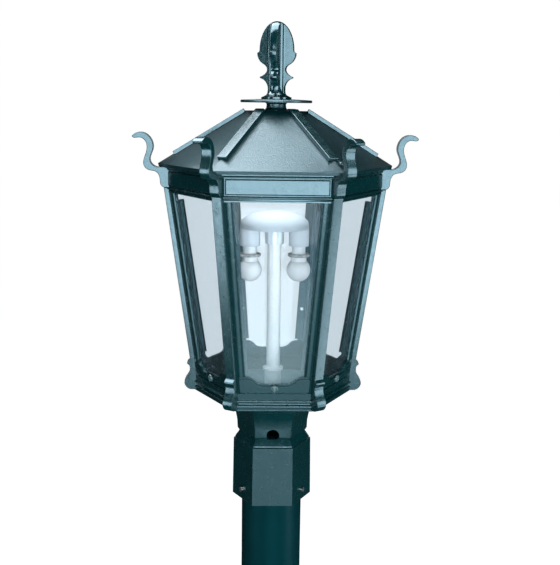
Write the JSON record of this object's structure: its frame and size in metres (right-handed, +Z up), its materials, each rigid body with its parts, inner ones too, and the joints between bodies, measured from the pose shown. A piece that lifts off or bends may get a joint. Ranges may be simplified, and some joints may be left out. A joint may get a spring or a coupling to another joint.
{
  "type": "post top lantern",
  "caption": "Tapered hexagonal glazed lantern with an acorn finial, corner horns and a lift-off roof, on a slip-over post socket.",
  "frame": {"origin": "on the post's axis, at the mouth of the fitter's socket", "axes": "+Z up along the post's axis, -Y towards the front glass, +X to the front's right"},
  "size_m": [0.345, 0.305, 0.5894],
  "materials": {
    "paint": "satin powder coat, very dark blue-green",
    "roof_paint": "finely textured powder coat, very dark blue-green",
    "retainer_paint": "gloss dark green paint",
    "clear_glass": "clear flat glass",
    "bright_screw": "bright zinc plate",
    "plated_steel": "plated steel",
    "white_enamel": "gloss white enamel",
    "canopy_grey": "satin light grey enamel",
    "holder_white": "white moulded plastic with a grey cap",
    "frosted_bulb": "frosted white glass"
  },
  "bodies": {
    "lantern_body": {"bottom_rail_front": "paint", "bottom_rail_front_left": "paint", "bottom_rail_front_right": "paint", "bottom_rail_rear": "paint", "bottom_rail_rear_left": "paint", "bottom_rail_rear_right": "paint", "bulbs": "frosted_bulb", "cluster_bar": "plated_steel", "corner_post_front_left": "paint", "corner_post_front_right": "paint", "corner_post_left": "paint", "corner_post_rear_left": "paint", "corner_post_rear_right": "paint", "corner_post_right": "paint", "corner_strip_front_left": "paint", "corner_strip_front_right": "paint", "corner_strip_left": "paint", "corner_strip_rear_left": "paint", "corner_strip_rear_right": "paint", "corner_strip_right": "paint", "dome_canopy": "canopy_grey", "fitter_sleeve": "paint", "floor_plate": "plated_steel", "frieze_front": "paint", "frieze_front_left": "paint", "frieze_front_right": "paint", "frieze_rear": "paint", "frieze_rear_left": "paint", "frieze_rear_right": "paint", "glass_retainers": "retainer_paint", "horn_front_left": "paint", "horn_front_right": "paint", "horn_left": "paint", "horn_rear_left": "paint", "horn_rear_right": "paint", "horn_right": "paint", "lamp_holders": "holder_white", "lamp_stem": "white_enamel", "neck_casting": "paint", "pane_front": "clear_glass", "pane_front_left": "clear_glass", "pane_front_right": "clear_glass", "pane_rear": "clear_glass", "pane_rear_left": "clear_glass", "pane_rear_right": "clear_glass", "rail_screws": "bright_screw"},
    "roof": {"roof_casting": "roof_paint", "hip_battens": "paint", "roof_cap": "roof_paint", "finial": "roof_paint", "finial_stud": "plated_steel"},
    "front_roof_screw": {"roof_screw_front": "bright_screw"},
    "rear_roof_screw": {"roof_screw_rear": "bright_screw"},
    "set_screw_rear_body": {"set_screw_rear": "bright_screw"},
    "set_screw_front_left_body": {"set_screw_front_left": "bright_screw"},
    "set_screw_front_right_body": {"set_screw_front_right": "bright_screw"}
  },
  "joints": [
    {"name": "roof_lift", "type": "slide", "parent": "lantern_body", "child": "roof", "axis": [0, 0, 1], "range_m": [0, 0.12]},
    {"name": "roof_screw_front_turn", "type": "hinge", "parent": "roof", "child": "front_roof_screw", "pos_m": [0.06946, -0.10031, 0.43], "axis": [0, 0, 1], "continuous": true},
    {"name": "roof_screw_rear_turn", "type": "hinge", "parent": "roof", "child": "rear_roof_screw", "pos_m": [-0.06946, 0.10031, 0.43], "axis": [0, 0, 1], "continuous": true},
    {"name": "set_screw_rear_travel", "type": "slide", "parent": "lantern_body", "child": "set_screw_rear_body", "axis": [0, -1, 0], "range_m": [-0.003, 0.003]},
    {"name": "set_screw_front_left_travel", "type": "slide", "parent": "lantern_body", "child": "set_screw_front_left_body", "axis": [0.866, 0.5, 0], "range_m": [-0.003, 0.003]},
    {"name": "set_screw_front_right_travel", "type": "slide", "parent": "lantern_body", "child": "set_screw_front_right_body", "axis": [-0.866, 0.5, 0], "range_m": [-0.003, 0.003]}
  ]
}
